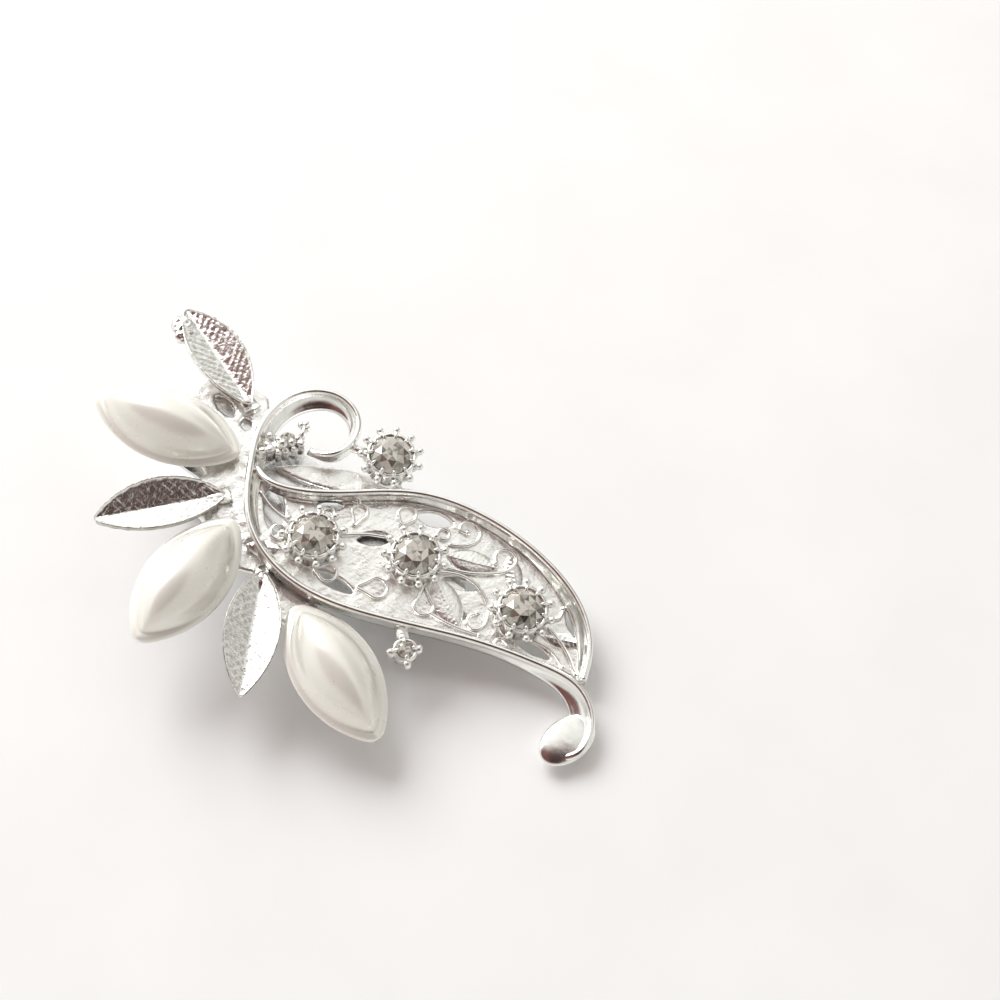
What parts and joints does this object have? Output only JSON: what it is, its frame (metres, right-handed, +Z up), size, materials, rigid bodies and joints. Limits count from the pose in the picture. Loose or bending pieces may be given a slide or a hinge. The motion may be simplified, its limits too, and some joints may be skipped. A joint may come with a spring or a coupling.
{
  "type": "rhinestone hair clip",
  "caption": "Sprung alligator hair clip under a silver flower and paisley ornament with marquise pearls, folded leaves and claw-set rhinestones.",
  "frame": {"origin": "under the middle of the part, on the table it lies on", "axes": "+X towards the tail and the clip's nose, +Y along the hinge pin, +Z up; the part lies on its tail's bead and its lower thumb tab"},
  "size_m": [0.0544, 0.031, 0.0143],
  "materials": {
    "silver_plate": "bright silver plate on a zinc casting",
    "clip_steel": "nickel-plated spring steel",
    "pin_steel": "bright riveted pin",
    "spring_wire": "drawn spring wire",
    "braze": "dull solder",
    "pearl": "pearlescent ivory lacquer",
    "rhinestone": "smoky faceted glass, foiled behind"
  },
  "bodies": {
    "ornament": {"brazing_pad": "braze", "bud_lower": "silver_plate", "bud_stone_lower": "rhinestone", "bud_stone_upper": "rhinestone", "bud_upper": "silver_plate", "filler_leaf": "silver_plate", "hinge_pin": "pin_steel", "leaf_lower": "silver_plate", "leaf_middle": "silver_plate", "leaf_upper": "silver_plate", "openwork_plate": "silver_plate", "pearl_lower": "pearl", "pearl_middle": "pearl", "pearl_tray_lower": "silver_plate", "pearl_tray_middle": "silver_plate", "pearl_tray_upper": "silver_plate", "pearl_upper": "pearl", "rhinestone_left": "rhinestone", "rhinestone_middle": "rhinestone", "rhinestone_outer": "rhinestone", "rhinestone_right": "rhinestone", "root_web": "silver_plate", "scroll_rings": "silver_plate", "scroll_stems": "silver_plate", "setting_left": "silver_plate", "setting_middle": "silver_plate", "setting_outer": "silver_plate", "setting_right": "silver_plate", "swirl_band": "silver_plate", "torsion_spring": "spring_wire", "upper_band": "silver_plate", "upper_blade": "clip_steel"},
    "jaw": {"lower_jaw": "clip_steel"}
  },
  "joints": [
    {"name": "jaw_hinge", "type": "hinge", "parent": "ornament", "child": "jaw", "pos_m": [-0.01435, 0.0038, 0.00528], "axis": [0, 1, 0], "range_deg": [0, 34], "stiffness_Nm_per_rad": 0.06, "springref_deg": -51.57, "deforming": ["torsion_spring"]}
  ]
}
